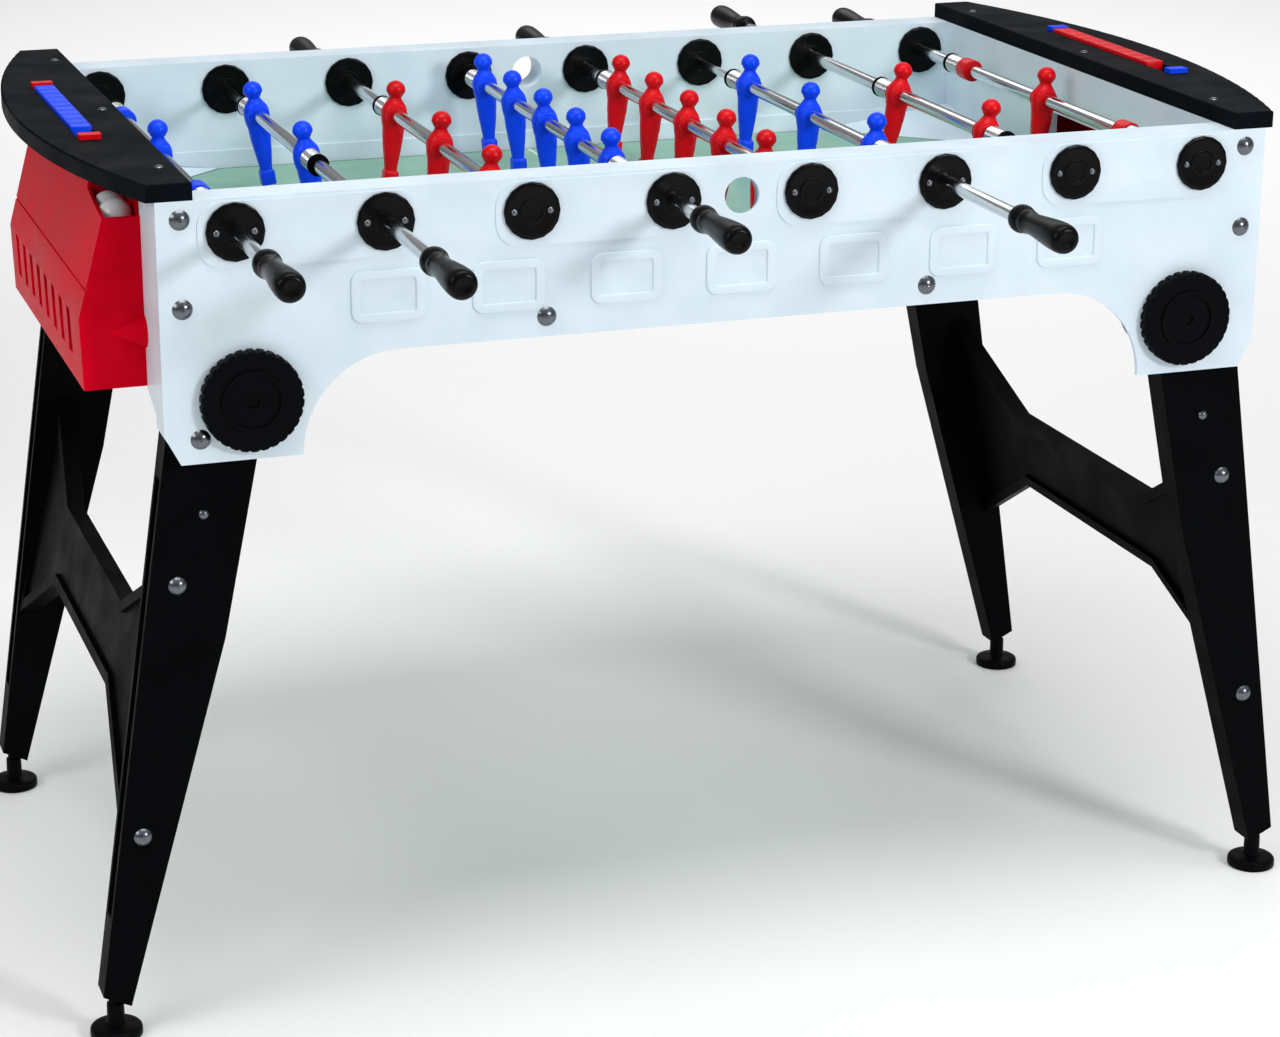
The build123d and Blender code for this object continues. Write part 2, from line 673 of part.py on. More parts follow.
def leg_frame(end):
    """Pair of tapering legs joined by a cross panel with corner gussets."""
    outline = [leg_point(*leg_shoulder), toe, heel, leg_point(*leg_waist), leg_point(*leg_throat),
               leg_point(0, 0), leg_point(leg_head_radius * 0.66, -leg_head_radius * 0.75)]
    channel_foot = leg_line - channel_end
    channel = [leg_point(shoulder_line(channel_top) - channel_depth, channel_top),
               leg_point(shoulder_line(channel_top) + 3, channel_top),
               leg_point(shoulder_line(channel_foot) + 3, channel_foot),
               leg_point(shoulder_line(channel_foot) - channel_depth, channel_foot)]
    middle_y = (leg_outer_y + leg_inner_y) / 2
    bottom = cross_top + cross_height
    centre = leg_point(cross_offset, 0)
    slope = Plane(origin=(end * centre[0], 0, centre[1]), x_dir=(0, end, 0),
                  z_dir=(end * outward[0], 0, outward[1]))
    with BuildPart() as frame:
        for side in (-1, 1):
            with BuildSketch(across(side * middle_y)):
                Polygon(*[(end * x, z) for x, z in outline], align=None)
                with Locations((end * pivot_x, pivot_z)):
                    Circle(leg_head_radius)
            extrude(amount=leg_thickness / 2, both=True)
            with BuildSketch(across(side * middle_y)):
                Polygon(*[(end * x, z) for x, z in channel], align=None)
            extrude(amount=channel_width / 2, both=True, mode=Mode.SUBTRACT)
        with BuildSketch(slope) as cross:
            joint = leg_inner_y + 2
            Polygon((-joint, gusset_rise - cross_top), (gusset_reach - leg_inner_y, -cross_top),
                    (leg_inner_y - gusset_reach, -cross_top), (joint, gusset_rise - cross_top),
                    (joint, -bottom - gusset_rise), (leg_inner_y - gusset_reach, -bottom),
                    (gusset_reach - leg_inner_y, -bottom), (-joint, -bottom - gusset_rise), align=None)
        extrude(amount=cross_thickness / 2, both=True)
        for face in (-1, 1):
            with BuildSketch(slope.offset(face * cross_thickness / 2)):
                offset(cross.sketch_local.face(), amount=-cross_rim, kind=Kind.INTERSECTION)
            extrude(amount=-face * cross_recess, mode=Mode.SUBTRACT)
        for side in (-1, 1):
            ends = (side * (leg_outer_y + 1), side * (leg_inner_y - 1))
            bar(stud_radius + running, ends, end * pivot_x, pivot_z, Mode.SUBTRACT)
            for x, z in leg_bolt_places:
                bar(shank_radius, (side * (leg_outer_y + 1), side * (leg_outer_y - shank_length)), end * x, z,
                    Mode.SUBTRACT)
            with Locations((end * foot_stand_x, side * middle_y, foot_stud_top / 2)):
                Cylinder(stud_radius + running, foot_stud_top + 1, mode=Mode.SUBTRACT)
    return frame.part


def leg_bolts(end):
    """Domed bolts in the outer faces of one pair of legs; the highest one is small."""
    small = dome_screw(dome_radius * 0.55, dome_height * 0.7, shank_radius, shank_length)
    big = dome_screw(dome_radius * 0.95, dome_height, shank_radius, shank_length)
    with BuildPart() as bolts:
        for side in (-1, 1):
            for (x, z), screw in zip(leg_bolt_places, (small, big, big)):
                with Locations(facing(end * x, side * leg_outer_y, z, side)):
                    add(screw)
    return bolts.part


save(leg_frame(-1), "left_leg_frame")
save(leg_frame(1), "right_leg_frame")
save(leg_bolts(-1), "left_leg_bolts")
save(leg_bolts(1), "right_leg_bolts")


def foot(end, side):
    """Round levelling foot with its neck and its threaded stud."""
    centre = Plane(origin=(end * foot_stand_x, side * (leg_outer_y + leg_inner_y) / 2, 0))
    lowest_edge = min(toe[1], heel[1])
    with BuildPart() as pad:
        with Locations(centre):
            Cylinder(foot_radius, foot_thickness, align=(Align.CENTER, Align.CENTER, Align.MIN))
        fillet(pad.faces().filter_by(Plane.XY).edges(), 4.0)
        with Locations(centre):
            Cylinder(foot_neck, lowest_edge - free, align=(Align.CENTER, Align.CENTER, Align.MIN))
            Cylinder(stud_radius, foot_stud_top - free, align=(Align.CENTER, Align.CENTER, Align.MIN))
    return pad.part


# ================================================================ clamp knobs
def clamp_knob(end, side):
    """Scalloped knob on a stud that runs through the side panel and the head of a leg."""
    back = side * (outer_half + free)
    front = back + side * knob_thickness
    with BuildPart() as knob:
        bar(knob_radius, (back, front), end * pivot_x, pivot_z)
        rim_edges = knob.edges().filter_by(GeomType.CIRCLE)
        fillet(rim_edges.sort_by(Axis.Y)[-1 if side > 0 else 0], 2.5)
        with Locations(facing(end * pivot_x, front, pivot_z, side)):
            with PolarLocations(knob_radius + scallop_radius * 0.3, knob_scallops):
                Cylinder(scallop_radius, 3 * knob_thickness, mode=Mode.SUBTRACT)
        ring = (front, front + side * 2.0)
        bar(knob_radius * 0.62, ring, end * pivot_x, pivot_z)
        bar(knob_radius * 0.52, ring, end * pivot_x, pivot_z, Mode.SUBTRACT)
        bar(knob_radius * 0.12, (front + side, front - side * 2.0), end * pivot_x, pivot_z, Mode.SUBTRACT)
        bar(stud_radius, (front - side * 4, side * (leg_inner_y - 2)), end * pivot_x, pivot_z)
    return knob.part


for end, end_name in ((-1, "left"), (1, "right")):
    for side, side_name in ((-1, "front"), (1, "back")):
        save(foot(end, side), f"{side_name}_{end_name}_foot")
        save(clamp_knob(end, side), f"{side_name}_{end_name}_knob")
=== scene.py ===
# %% [markdown]
# # A foosball table on folding legs
# This lesson dresses a finished engineering model. The cabinet, rods, handles, legs and knobs come in as a
# fixed frame, at their real size. Here they get their finishes, and the small shapes that a maker would mould
# or wind, such as the players and the springs, are modelled and put in their places.

# %% Load the frame
import json
from math import pi, radians

import bmesh
import bpy
from mathutils import Matrix, Vector

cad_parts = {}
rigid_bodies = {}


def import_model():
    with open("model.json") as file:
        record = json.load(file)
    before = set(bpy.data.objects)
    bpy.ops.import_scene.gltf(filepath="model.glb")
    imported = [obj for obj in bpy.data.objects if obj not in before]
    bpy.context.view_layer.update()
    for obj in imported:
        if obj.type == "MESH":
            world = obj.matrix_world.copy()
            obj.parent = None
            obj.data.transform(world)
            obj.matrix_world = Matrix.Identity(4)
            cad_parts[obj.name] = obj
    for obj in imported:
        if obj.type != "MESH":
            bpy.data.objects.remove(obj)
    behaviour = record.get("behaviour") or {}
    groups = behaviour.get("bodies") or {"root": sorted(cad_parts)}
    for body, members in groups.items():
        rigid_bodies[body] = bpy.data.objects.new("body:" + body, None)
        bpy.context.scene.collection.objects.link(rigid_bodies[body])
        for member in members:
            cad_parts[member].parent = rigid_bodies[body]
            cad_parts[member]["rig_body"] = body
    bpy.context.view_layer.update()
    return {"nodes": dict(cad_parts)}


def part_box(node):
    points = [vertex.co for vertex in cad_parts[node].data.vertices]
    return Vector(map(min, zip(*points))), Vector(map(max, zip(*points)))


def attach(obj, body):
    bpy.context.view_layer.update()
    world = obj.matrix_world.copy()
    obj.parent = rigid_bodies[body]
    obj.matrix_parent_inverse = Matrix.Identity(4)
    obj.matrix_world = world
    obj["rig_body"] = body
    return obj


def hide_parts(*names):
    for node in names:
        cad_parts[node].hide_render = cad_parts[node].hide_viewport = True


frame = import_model()

# %% [markdown]
# ## Small helpers
# Blender's tools act on whatever is selected, so each new shape starts with nothing selected. Faces are then
# picked by where they are or which way they look, exactly as a hand would pick them on the screen.

# %% Millimetres, and a clean start
mm = 0.001


def begin(primitive, **settings):
    """Deselect all, add a primitive and go into edit mode with it."""
    if bpy.context.object and bpy.context.object.mode != "OBJECT":
        bpy.ops.object.mode_set(mode="OBJECT")
    bpy.ops.object.select_all(action="DESELECT")
    primitive(**settings)
    bpy.ops.object.mode_set(mode="EDIT")
    return bpy.context.object


def pick(kind, wanted):
    """Select only the faces, edges or vertices for which wanted(place, normal) is true."""
    mesh = bmesh.from_edit_mesh(bpy.context.object.data)
    bpy.ops.mesh.select_mode(type=kind)
    bpy.ops.mesh.select_all(action="DESELECT")
    for item in {"FACE": mesh.faces, "EDGE": mesh.edges, "VERT": mesh.verts}[kind]:
        if kind == "FACE":
            place, normal = item.calc_center_median(), item.normal
        elif kind == "EDGE":
            place = (item.verts[0].co + item.verts[1].co) / 2
            normal = (item.verts[1].co - item.verts[0].co).normalized()
        else:
            place, normal = item.co, item.normal
        if wanted(place, normal):
            item.select_set(True)
    bmesh.update_edit_mesh(bpy.context.object.data)


def object_mode():
    """Leave edit mode and return the piece."""
    bpy.ops.object.mode_set(mode="OBJECT")
    return bpy.context.object


# %% Modifiers, smoothing and joining
def apply_modifier(piece, kind, **settings):
    """Add one modifier with its settings and apply it."""
    bpy.ops.object.select_all(action="DESELECT")
    bpy.context.view_layer.objects.active = piece
    piece.select_set(True)
    modifier = piece.modifiers.new(kind.title(), kind)
    for name, value in settings.items():
        setattr(modifier, name, value)
    bpy.ops.object.modifier_apply(modifier=modifier.name)
    return piece


def settle(piece, name):
    """Bake the object's own place into its mesh, so that its origin is the frame's origin."""
    piece.data.transform(piece.matrix_world)
    piece.matrix_world = Matrix.Identity(4)
    piece.name = piece.data.name = name
    return piece


def smooth(piece, angle):
    """Smooth shading, kept sharp where faces meet at more than an angle in degrees."""
    bpy.ops.object.select_all(action="DESELECT")
    bpy.context.view_layer.objects.active = piece
    piece.select_set(True)
    bpy.ops.object.shade_smooth_by_angle(angle=radians(angle))
    return piece


def copy_to(master, place, name):
    """A copy with its own mesh, moved by a matrix."""
    piece = bpy.data.objects.new(name, master.data.copy())
    bpy.context.collection.objects.link(piece)
    piece.data.transform(place)
    return piece


def join(pieces, name):
    """Make one piece of several."""
    bpy.ops.object.select_all(action="DESELECT")
    for piece in pieces:
        piece.select_set(True)
    bpy.context.view_layer.objects.active = pieces[0]
    bpy.ops.object.join()
    pieces[0].name = pieces[0].data.name = name
    return pieces[0]


def put_away(master):
    """Delete a master once its copies are made."""
    bpy.data.objects.remove(master)


def wear(piece, finish):
    """Give a piece one finish all over."""
    piece.data.materials.clear()
    piece.data.materials.append(finish)


# %% [markdown]
# ## Camera
# The table is seen from its front left corner, a little above the rail, with a long lens, so its far legs
# stay nearly as tall as its near ones.

# %% Camera
camera_place = Vector((-1.1210, -3.2777, 1.5235))
camera_right = Vector((0.94424, -0.32922, 0.00496)).normalized()
camera_back = -Vector((0.31414, 0.89628, -0.31305)).normalized()
camera_up = camera_back.cross(camera_right)
camera = bpy.data.objects.new("camera", bpy.data.cameras.new("camera"))
bpy.context.scene.collection.objects.link(camera)
camera.data.sensor_width = 36
camera.data.lens = 89.07
turn = Matrix((camera_right, camera_up, camera_back)).transposed().to_4x4()
camera.matrix_world = Matrix.Translation(camera_place) @ turn
bpy.context.scene.camera = camera
print("camera at", [round(value, 3) for value in camera_place])

# %% [markdown]
# ## Studio
# A catalogue shot: a white floor, a key light from the right that throws the handles' soft shadows down the
# panel, a fill from the left, a broad light above, one more that keeps the floor behind the table white, and
# a pale surround for the chrome to mirror.

# %% Floor
def linear(hex_code):
    """An sRGB colour such as #ffffff as the linear values that shaders use."""
    shares = [int(hex_code[i:i + 2], 16) / 255 for i in (1, 3, 5)]
    return tuple(s / 12.92 if s <= 0.04045 else ((s + 0.055) / 1.055) ** 2.4 for s in shares) + (1.0,)


def add_node(tree, kind, links=(), **settings):
    """Add a node; each setting names an attribute or an input, and each link is (input, output socket)."""
    node = tree.nodes.new(kind)
    for name, value in settings.items():
        if hasattr(node, name):
            setattr(node, name, value)
        else:
            node.inputs[name.replace("_", " ")].default_value = value
    for socket, source in links:
        tree.links.new(source, node.inputs[socket])
    return node


floor_finish = bpy.data.materials.new("studio_floor")
floor_finish.use_nodes = True
floor_shader = floor_finish.node_tree.nodes["Principled BSDF"]
floor_shader.inputs["Base Color"].default_value = linear("#fdfdfd")
floor_shader.inputs["Roughness"].default_value = 0.9
floor_shader.inputs["Specular IOR Level"].default_value = 0.1
bpy.ops.object.select_all(action="DESELECT")
bpy.ops.mesh.primitive_plane_add(size=60)
floor = bpy.context.object
floor.name = "studio_floor"
floor.data.materials.append(floor_finish)

# %% Surround
bpy.context.scene.view_settings.view_transform = "Standard"
world = bpy.data.worlds.new("studio")
bpy.context.scene.world = world
world.use_nodes = True
sky = world.node_tree
sky_way = add_node(sky, "ShaderNodeTexCoord").outputs["Generated"]
sky_parts = add_node(sky, "ShaderNodeSeparateXYZ", [("Vector", sky_way)])
sky_tone = add_node(sky, "ShaderNodeValToRGB", [("Fac", sky_parts.outputs["Z"])])
sky_tone.color_ramp.elements[0].position, sky_tone.color_ramp.elements[0].color = 0.0, (0.3, 0.31, 0.32, 1)
sky_tone.color_ramp.elements[1].position, sky_tone.color_ramp.elements[1].color = 0.75, (1.0, 1.0, 1.0, 1)
sky.links.new(sky_tone.outputs["Color"], sky.nodes["Background"].inputs["Color"])
sky.nodes["Background"].inputs["Strength"].default_value = 0.48

# %% Lights


def softbox(name, place, aim, width, height, power):
    """A rectangular area light that looks at a point."""
    lamp = bpy.data.lights.new(name, "AREA")
    lamp.shape = "RECTANGLE"
    lamp.size, lamp.size_y, lamp.energy = width, height, power
    light = bpy.data.objects.new(name, lamp)
    bpy.context.scene.collection.objects.link(light)
    light.location = place
    light.rotation_euler = (Vector(aim) - Vector(place)).to_track_quat("-Z", "Y").to_euler()


table_middle = (0.0, 0.0, 0.7)
softbox("key", (1.9, -3.8, 2.1), table_middle, 0.7, 0.6, 66)
softbox("fill", (-3.4, -1.4, 2.4), table_middle, 1.6, 1.3, 30)
softbox("top", (0.0, -0.8, 3.5), table_middle, 2.6, 1.4, 54)
softbox("backdrop", (1.9, 4.6, 3.6), (2.3, 5.4, 0.0), 5.0, 4.0, 110)

# %% [markdown]
# ## Moulded plastics
# Nearly everything here is injection-moulded. A moulding shows three things close up: a fine grain copied
# from the etched tool, a slow waviness where the wall sank as it cooled, and slightly uneven gloss from
# handling. One function builds that stack of noise, and each plastic sets its own sizes in millimetres.

# %% A moulded plastic
def moulded(name, shade, deep_shade, roughness, grain_mm, grain_depth_mm, wave_depth_mm=0.15, gloss=0.5):
    """A moulded plastic: two close shades, a grain, a slow waviness and uneven gloss."""
    finish = bpy.data.materials.new(name)
    finish.use_nodes = True
    tree = finish.node_tree
    shader = tree.nodes["Principled BSDF"]
    shader.inputs["IOR"].default_value = 1.5
    shader.inputs["Specular IOR Level"].default_value = gloss
    place = add_node(tree, "ShaderNodeTexCoord").outputs["Object"]
    cloud = add_node(tree, "ShaderNodeTexNoise", [("Vector", place)], Scale=1 / (60 * mm), Detail=3.0)
    grain = add_node(tree, "ShaderNodeTexNoise", [("Vector", place)], Scale=1 / (grain_mm * mm), Detail=2.0)
    wave = add_node(tree, "ShaderNodeTexNoise", [("Vector", place)], Scale=1 / (90 * mm), Detail=1.0)
    tint = add_node(tree, "ShaderNodeValToRGB", [("Fac", cloud.outputs["Fac"])])
    tint.color_ramp.elements[0].position, tint.color_ramp.elements[0].color = 0.3, linear(deep_shade)
    tint.color_ramp.elements[1].position, tint.color_ramp.elements[1].color = 0.7, linear(shade)
    tree.links.new(tint.outputs["Color"], shader.inputs["Base Color"])
    uneven = add_node(tree, "ShaderNodeMapRange", [("Value", cloud.outputs["Fac"])],
                      From_Min=0.3, From_Max=0.7, To_Min=roughness * 0.85, To_Max=roughness * 1.2)
    tree.links.new(uneven.outputs["Result"], shader.inputs["Roughness"])
    slow = add_node(tree, "ShaderNodeBump", [("Height", wave.outputs["Fac"])], Strength=1.0,
                    Distance=wave_depth_mm * mm)
    fine = add_node(tree, "ShaderNodeBump",
                    [("Height", grain.outputs["Fac"]), ("Normal", slow.outputs["Normal"])],
                    Strength=1.0, Distance=grain_depth_mm * mm)
    tree.links.new(fine.outputs["Normal"], shader.inputs["Normal"])
    return finish


# %% The plastics of this table
# White ABS panels: satin, cool, with sink waves that bend their broad reflections.
white_abs = moulded("white_abs_panel", "#dcebf4", "#d3e3ee", 0.34, 1.2, 0.006, 0.5, 0.3)
# Red ABS goal boxes: a strong cherry red that darkens to crimson in its shade.
red_abs = moulded("red_abs_goal_box", "#dc0424", "#c4021a", 0.3, 1.5, 0.01, 0.4, 0.01)
# Blue and red nylon players: bright, glossy and a little waxy.
blue_nylon = moulded("blue_nylon_player", "#0048ff", "#0040f2", 0.32, 0.8, 0.01, 0.05, 0.2)
red_nylon = moulded("red_nylon_player", "#e00012", "#c8000e", 0.32, 0.8, 0.01, 0.05, 0.2)
# Black polypropylene legs and caps: a coarse leather-like tool grain, nearly matt.
black_pp = moulded("black_polypropylene", "#07080a", "#040506", 0.5, 1.6, 0.09, 0.3, 0.02)
black_cap = moulded("black_cap_polypropylene", "#090e14", "#06090e", 0.55, 1.4, 0.08, 0.2, 0.03)
# Black knobs, feet and washers: the same plastic from a smoother tool.
black_smooth = moulded("black_smooth_polypropylene", "#07080b", "#040507", 0.42, 1.8, 0.03, 0.1, 0.04)
# Black ABS handles and bearings: a polished tool, small soft highlights.
black_abs = moulded("black_abs_gloss", "#040506", "#020203", 0.26, 2.5, 0.006, 0.05, 0.12)
# White ball plastic: glossy with faint scuffs.
ball_plastic = moulded("white_ball_plastic", "#ffffff", "#f6f6fc", 0.25, 2.0, 0.02, 0.02)
print("plastics", [material.name for material in bpy.data.materials])

# %% [markdown]
# ## Chrome
# The rods are drawn steel tube with bright chrome plating. Plating copies the draw marks of the tube, so the
# reflection is finely streaked along the rod.

# %% Chrome plate
chrome = bpy.data.materials.new("chrome_plate")
chrome.use_nodes = True
chrome_shader = chrome.node_tree.nodes["Principled BSDF"]
chrome_shader.inputs["Metallic"].default_value = 1.0
chrome_shader.inputs["Base Color"].default_value = linear("#d2d4d6")
chrome_place = add_node(chrome.node_tree, "ShaderNodeTexCoord").outputs["Object"]
streaks = add_node(chrome.node_tree, "ShaderNodeMapping", [("Vector", chrome_place)], Scale=(700, 12, 700))
streak = add_node(chrome.node_tree, "ShaderNodeTexNoise", [("Vector", streaks.outputs["Vector"])], Scale=1.0)
streak_gloss = add_node(chrome.node_tree, "ShaderNodeMapRange", [("Value", streak.outputs["Fac"])],
                        To_Min=0.06, To_Max=0.2)
chrome.node_tree.links.new(streak_gloss.outputs["Result"], chrome_shader.inputs["Roughness"])
streak_bump = add_node(chrome.node_tree, "ShaderNodeBump", [("Height", streak.outputs["Fac"])], Strength=1.0,
                       Distance=0.004 * mm)
chrome.node_tree.links.new(streak_bump.outputs["Normal"], chrome_shader.inputs["Normal"])

# %% Bolts and screws
# Bolts and screws are zinc plated: a duller, darker metal than chrome.
zinc = bpy.data.materials.new("zinc_plate")
zinc.use_nodes = True
zinc_shader = zinc.node_tree.nodes["Principled BSDF"]
zinc_shader.inputs["Metallic"].default_value = 1.0
zinc_shader.inputs["Base Color"].default_value = linear("#6c7076")
zinc_place = add_node(zinc.node_tree, "ShaderNodeTexCoord").outputs["Object"]
zinc_cloud = add_node(zinc.node_tree, "ShaderNodeTexNoise", [("Vector", zinc_place)], Scale=1 / (3 * mm))
zinc_gloss = add_node(zinc.node_tree, "ShaderNodeMapRange", [("Value", zinc_cloud.outputs["Fac"])],
                      To_Min=0.18, To_Max=0.34)
zinc.node_tree.links.new(zinc_gloss.outputs["Result"], zinc_shader.inputs["Roughness"])

# %% [markdown]
# ## The printed field
# The field is a hardboard sheet with a satin pale green print. A dark line runs just inside its edge and cuts
# the corners where the white ramps begin. The line is drawn with plain arithmetic on the board's coordinates,
# so it stays sharp at any size.

# %% Printed board
board_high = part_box("playing_field")[1]
field = bpy.data.materials.new("printed_green_board")
field.use_nodes = True
paint = field.node_tree
field_shader = paint.nodes["Principled BSDF"]
field_shader.inputs["Roughness"].default_value = 0.4
field_place = add_node(paint, "ShaderNodeTexCoord").outputs["Object"]


def maths(operation, first, second=0.0):
    """One arithmetic node; each operand is a number or another node's output."""
    node = paint.nodes.new("ShaderNodeMath")
    node.operation = operation
    for socket, value in zip(node.inputs, (first, second)):
        if isinstance(value, (int, float)):
            socket.default_value = value
        else:
            paint.links.new(value, socket)
    return node.outputs[0]


apart = add_node(paint, "ShaderNodeSeparateXYZ", [("Vector", field_place)])
far_x = maths("ABSOLUTE", apart.outputs["X"])
far_y = maths("ABSOLUTE", apart.outputs["Y"])
ramp_x, ramp_y, strip = 173 * mm, 155 * mm, 2 * mm
corner_x, corner_y = board_high.x, board_high.y - strip
side_room = maths("SUBTRACT", corner_y, far_y)
end_room = maths("SUBTRACT", corner_x, far_x)
slant = (ramp_x ** 2 + ramp_y ** 2) ** 0.5
corner_room = maths("MULTIPLY", maths("SUBTRACT", maths("ADD", maths("MULTIPLY", end_room, ramp_y),
                                                      maths("MULTIPLY", side_room, ramp_x)), ramp_x * ramp_y),
                    1 / slant)
edge_room = maths("MINIMUM", side_room, corner_room)
line_width, line_inset, circle_radius = 3 * mm, 0.5 * mm, 95 * mm
edge_line = maths("COMPARE", edge_room, line_inset + line_width / 2)
edge_line.node.inputs[2].default_value = line_width / 2
halfway = maths("LESS_THAN", far_x, line_width / 2)
from_centre = add_node(paint, "ShaderNodeVectorMath", operation="LENGTH")
flat = add_node(paint, "ShaderNodeCombineXYZ", [("X", apart.outputs["X"]), ("Y", apart.outputs["Y"])])
paint.links.new(flat.outputs["Vector"], from_centre.inputs[0])
circle = maths("COMPARE", from_centre.outputs["Value"], circle_radius)
circle.node.inputs[2].default_value = line_width / 2
pale = maths("MAXIMUM", halfway, circle)
green = add_node(paint, "ShaderNodeTexNoise", [("Vector", field_place)], Scale=1 / (35 * mm), Detail=4.0)
sheet_tint = add_node(paint, "ShaderNodeValToRGB", [("Fac", green.outputs["Fac"])])
sheet_tint.color_ramp.elements[0].position, sheet_tint.color_ramp.elements[0].color = 0.3, linear("#7fae98")
sheet_tint.color_ramp.elements[1].position, sheet_tint.color_ramp.elements[1].color = 0.7, linear("#8ab8a2")


def print_over(below, mask, hex_code):
    """Lay one printed colour over the board where the mask is 1."""
    mix = add_node(paint, "ShaderNodeMix", data_type="RGBA")
    paint.links.new(mask, mix.inputs["Factor"])
    paint.links.new(below, mix.inputs[6])
    mix.inputs[7].default_value = linear(hex_code)
    return mix.outputs[2]


with_marks = print_over(sheet_tint.outputs["Color"], pale, "#dfeee6")
with_edge = print_over(with_marks, edge_line, "#2d4a3c")
paint.links.new(with_edge, field_shader.inputs["Base Color"])
fibre = add_node(paint, "ShaderNodeTexNoise", [("Vector", field_place)], Scale=1 / (2 * mm), Detail=3.0)
fibre_bump = add_node(paint, "ShaderNodeBump", [("Height", fibre.outputs["Fac"])], Strength=1.0,
                      Distance=0.02 * mm)
paint.links.new(fibre_bump.outputs["Normal"], field_shader.inputs["Normal"])

# %% [markdown]
# ## Dressing the frame's own pieces
# Pieces whose shape is already right only need their finish. The large mouldings need one thing more: a real
# moulding has no knife edges. A copy of each has its loose triangles merged into whole faces, so a bevel can
# run round every edge, and the copy then stands in for the engineering piece.

# %% Give a finish, or a finish and rounded edges
def dress(node, *finishes):
    """Give a CAD node its finishes, one for each material slot."""
    piece = frame["nodes"][node]
    piece.data.materials.clear()
    for finish in finishes:
        piece.data.materials.append(finish)
    return piece


def round_edges(node, finish, edge_mm, cutter=None):
    """Replace a CAD node by a copy of itself with rounded edges, and cut a hole in it where one is wanted."""
    piece = copy_to(frame["nodes"][node], Matrix.Identity(4), f"{node}_moulding")
    bpy.ops.object.select_all(action="DESELECT")
    bpy.context.view_layer.objects.active = piece
    piece.select_set(True)
    bpy.ops.mesh.customdata_custom_splitnormals_clear()
    bpy.ops.object.mode_set(mode="EDIT")
    bpy.ops.mesh.select_all(action="SELECT")
    bpy.ops.mesh.remove_doubles(threshold=0.005 * mm)
    bpy.ops.mesh.dissolve_limited(angle_limit=radians(0.5))
    bpy.ops.object.mode_set(mode="OBJECT")
    if cutter:
        apply_modifier(piece, "BOOLEAN", object=cutter, operation="DIFFERENCE", solver="EXACT")
        put_away(cutter)
    apply_modifier(piece, "BEVEL", width=edge_mm * mm, segments=2, limit_method="ANGLE",
                   angle_limit=radians(35))
    smooth(piece, 35)
    apply_modifier(piece, "WEIGHTED_NORMAL", keep_sharp=True)
    wear(piece, finish)
    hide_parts(node)
    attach(piece, frame["nodes"][node]["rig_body"])
    return piece


# %% Mouldings with rounded edges
rods = range(1, 9)
blue_rods = (1, 2, 4, 6)
# The front ball entry opens out and drops towards the field, so that a ball dropped in it rolls inwards.
panel_skin = 382.5 * mm
entry_radius, entry_flare, entry_fall = 18.5 * mm, 15 * mm, 14 * mm
skin_depth, wall_depth = 3 * mm, 50 * mm
rod_height = sum(corner.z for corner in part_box("rod_1_tube")) / 2
begin(bpy.ops.mesh.primitive_cylinder_add, vertices=48, radius=entry_radius, depth=wall_depth,
      location=(0, skin_depth + wall_depth / 2 - panel_skin, rod_height), rotation=(pi / 2, 0, 0))
pick("FACE", lambda place, normal: normal.z < -0.9)
bpy.ops.transform.resize(value=(1 + entry_flare / entry_radius,) * 3)
bpy.ops.transform.translate(value=(0, 0, -entry_fall))
chute = settle(object_mode(), "chute")
round_edges("front_side_panel", white_abs, 1.0, chute)
round_edges("back_side_panel", white_abs, 1.0)
for end in ("left", "right"):
    round_edges(f"{end}_end_wall", white_abs, 0.8)
    round_edges(f"{end}_goal_box", red_abs, 1.2)
    round_edges(f"{end}_leg_frame", black_pp, 2.0)
    dress(f"{end}_end_cap", black_cap)
    dress(f"{end}_leg_bolts", zinc)
    for side in ("front", "back"):
        round_edges(f"{side}_{end}_knob", black_smooth, 0.6)

# %% Pieces that keep their shape
dress("playing_field", field)
dress("guide_cores", chrome)
dress("cabinet_screws", zinc)
dress("balls", ball_plastic)
for rod in rods:
    dress(f"rod_{rod}_tube", chrome)
blocks = dress("score_blocks", red_nylon, blue_nylon)
for face in blocks.data.polygons:
    face.material_index = 1 if face.center.x > 0 else 0
print("dressed the frame's nodes")

# %% [markdown]
# ## Score beads
# Ten beads slide on each end cap between two end blocks, and the row stops a little short of the front block.
# A bead is a bevelled box with a narrow gap before the next one.

# %% Beads in a row
bead_count, bead_room, bead_gap = 10, 11 * mm, 0.9 * mm
for end, finish, slot in (("left", blue_nylon, "blue_player"), ("right", red_nylon, "red_player")):
    low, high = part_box(f"{end}_score_beads")
    step = (high.y - low.y - bead_room) / bead_count
    beads = []
    for index in range(bead_count):
        middle = Vector(((low.x + high.x) / 2, high.y - step * (index + 0.5), (low.z + high.z) / 2))
        begin(bpy.ops.mesh.primitive_cube_add, size=1.0, location=middle,
              scale=(high.x - low.x, step - bead_gap, high.z - low.z))
        bead = settle(object_mode(), "bead")
        beads.append(apply_modifier(bead, "BEVEL", width=1.3 * mm, segments=3))
    row = smooth(join(beads, f"{end}_bead_row"), 40)
    wear(row, finish)
    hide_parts(f"{end}_score_beads")
    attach(row, frame["nodes"][f"{end}_score_beads"]["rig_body"])
print("bead rows", 2)

# %% [markdown]
# ## The player
# Each player is one nylon moulding: boots, legs pressed together, shorts, a shirt with its arms held to the
# sides, a neck and a plain round head. A ridge runs round the rod at the chest, where the moulding is
# thickest. The figure grows upwards from a ring of vertices: every step is one extrude and one resize, which
# is how a modeller would pull it up from the ankles. It is modelled once, and every other player is a copy.

